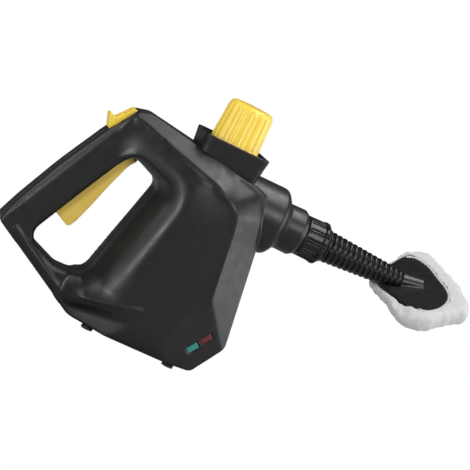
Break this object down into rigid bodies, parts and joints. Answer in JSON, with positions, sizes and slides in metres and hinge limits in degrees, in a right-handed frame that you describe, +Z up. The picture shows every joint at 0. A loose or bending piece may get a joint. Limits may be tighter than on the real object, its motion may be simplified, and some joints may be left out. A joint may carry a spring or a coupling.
{
  "type": "wallpaper steamer",
  "caption": "Handheld wallpaper steamer with a looped handle, filler cap in a collar, ribbed extension tube and a cloth-covered kite-shaped head.",
  "frame": {"origin": "centre of the whole object's bounding box in plan, at the height of the feet's undersides", "axes": "+X points out of the nozzle towards the tool head, +Z is up, and Y = 0 is the middle plane of the body"},
  "size_m": [0.4719, 0.1309, 0.2655],
  "materials": {
    "housing_black": "satin moulded black plastic",
    "attachment_black": "fine-grained black plastic",
    "yellow_plastic": "semi-gloss bright yellow plastic",
    "trigger_plastic": "satin mustard yellow plastic",
    "inner_plastic": "heat-resistant dark plastic",
    "foot_rubber": "matte black rubber",
    "seal_rubber": "red-brown silicone rubber",
    "spring_steel": "plain bright steel",
    "heater_steel": "heat-darkened steel sheath",
    "boiler_aluminium": "as-cast aluminium",
    "brass": "machined brass",
    "ceramic_white": "unglazed off-white ceramic",
    "white_cloth": "white terry cloth",
    "green_lens": "glossy blue-green translucent lens",
    "red_lens": "glossy dark red translucent lens"
  },
  "bodies": {
    "steamer": {"housing_right": "housing_black", "housing_left": "housing_black", "front_shroud": "housing_black", "filler_collar": "housing_black", "filler_neck": "boiler_aluminium", "trigger_pin": "spring_steel", "trigger_spring": "spring_steel", "valve_body": "brass", "valve_spring": "spring_steel", "boiler_lower": "boiler_aluminium", "boiler_upper": "boiler_aluminium", "boiler_gasket": "seal_rubber", "boiler_bolts": "spring_steel", "boiler_cradle": "inner_plastic", "heating_element": "heater_steel", "thermostat": "ceramic_white", "thermal_fuse": "ceramic_white", "terminal_block": "ceramic_white", "steam_riser": "brass", "steam_hose": "foot_rubber", "outlet_nozzle": "brass", "outlet_seal": "seal_rubber", "extension_tube": "attachment_black", "green_lens": "green_lens", "red_lens": "red_lens", "lamp_holder": "ceramic_white", "cord_gland": "foot_rubber", "feet": "foot_rubber", "housing_screws": "spring_steel"},
    "lock_slider": {"lock_slider": "yellow_plastic"},
    "trigger": {"trigger": "trigger_plastic"},
    "valve_plunger": {"valve_plunger": "spring_steel"},
    "cap_thread": {"cap_washer": "seal_rubber"},
    "cap_core": {"cap_core": "inner_plastic", "cap_spring": "spring_steel"},
    "cap_shell": {"cap_shell": "yellow_plastic"},
    "locking_nut": {"locking_nut": "attachment_black"},
    "tool_head": {"head_plate": "attachment_black", "head_cloth": "white_cloth"}
  },
  "joints": [
    {"name": "trigger_press", "type": "hinge", "parent": "steamer", "child": "trigger", "pos_m": [-0.13724, 0, 0.177], "axis": [0, 1, 0], "range_deg": [0, 6.5], "stiffness_Nm_per_rad": 0.3, "springref_deg": -11.46},
    {"name": "valve_stroke", "type": "slide", "parent": "steamer", "child": "valve_plunger", "axis": [1, 0, 0], "range_m": [0, 0.00172]},
    {"name": "slider_lock", "type": "slide", "parent": "steamer", "child": "lock_slider", "axis": [-0.5505, 0, -0.8348], "range_m": [0, 0.005]},
    {"name": "cap_lift", "type": "slide", "parent": "steamer", "child": "cap_thread", "axis": [0, 0, 1], "range_m": [0, 0.0081]},
    {"name": "cap_turn", "type": "hinge", "parent": "cap_thread", "child": "cap_core", "pos_m": [-0.05524, 0, 0.212], "axis": [0, 0, 1], "range_deg": [0, 720]},
    {"name": "cap_press", "type": "slide", "parent": "cap_core", "child": "cap_shell", "axis": [0, 0, -1], "range_m": [0, 0.002], "stiffness_N_per_m": 1500, "springref_m": -0.004, "deforming": ["cap_spring"]},
    {"name": "nut_turn", "type": "hinge", "parent": "steamer", "child": "locking_nut", "pos_m": [0.05476, 0, 0.171], "axis": [1, 0, 0], "range_deg": [0, 90]},
    {"name": "head_swivel", "type": "hinge", "parent": "steamer", "child": "tool_head", "pos_m": [0.16436, 0, 0.171], "axis": [1, 0, 0], "continuous": true}
  ],
  "couplings": [
    {"joint": "valve_stroke", "follows": "trigger_press", "m_per_rad": 0.015},
    {"joint": "cap_lift", "follows": "cap_turn", "m_per_rad": 0.00063662}
  ]
}
